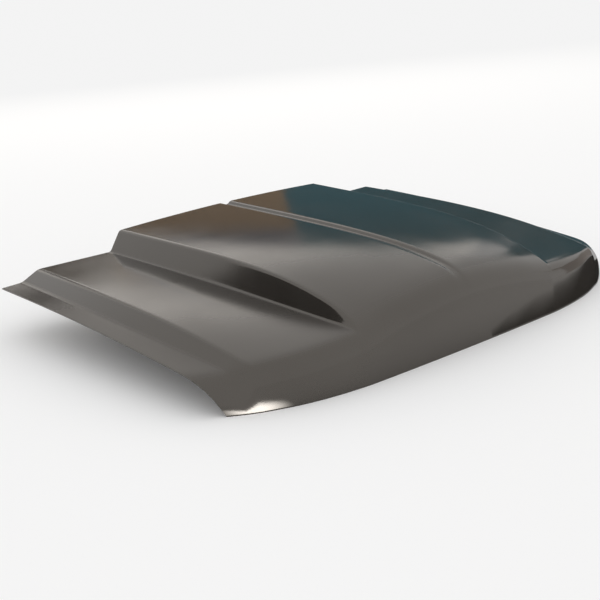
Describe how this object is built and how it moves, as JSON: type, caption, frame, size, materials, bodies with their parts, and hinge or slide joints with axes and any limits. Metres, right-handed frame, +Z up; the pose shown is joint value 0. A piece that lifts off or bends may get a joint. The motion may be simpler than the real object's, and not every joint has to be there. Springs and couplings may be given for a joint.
{
  "type": "cowl induction bonnet",
  "caption": "Steel car bonnet with a raised cowl induction scoop open at the rear, grooved crown, rolled nose and hemmed sides, on a welded channel frame with hinge and latch plates.",
  "frame": {"origin": "middle of the bonnet's box at the level of the nose lip", "axes": "+X to the car's left, -Y to the nose, +Z up, as the bonnet lies closed on the car"},
  "size_m": [1.45, 1.0581, 0.2344],
  "materials": {
    "primer": "semi-gloss dark primer",
    "frame_coat": "satin dark primer",
    "plate_coat": "satin dark primer",
    "nut_steel": "zinc plated",
    "mastic": "matt cured mastic"
  },
  "bodies": {
    "root": {"outer_panel": "primer", "side_rail_left": "frame_coat", "side_rail_right": "frame_coat", "front_rail": "frame_coat", "rear_rail": "frame_coat", "brace_left": "frame_coat", "brace_right": "frame_coat", "hinge_plate_left": "plate_coat", "hinge_plate_right": "plate_coat", "hinge_nuts": "nut_steel", "latch_plate": "plate_coat", "latch_nuts": "nut_steel", "mastic_dabs": "mastic"}
  },
  "joints": []
}
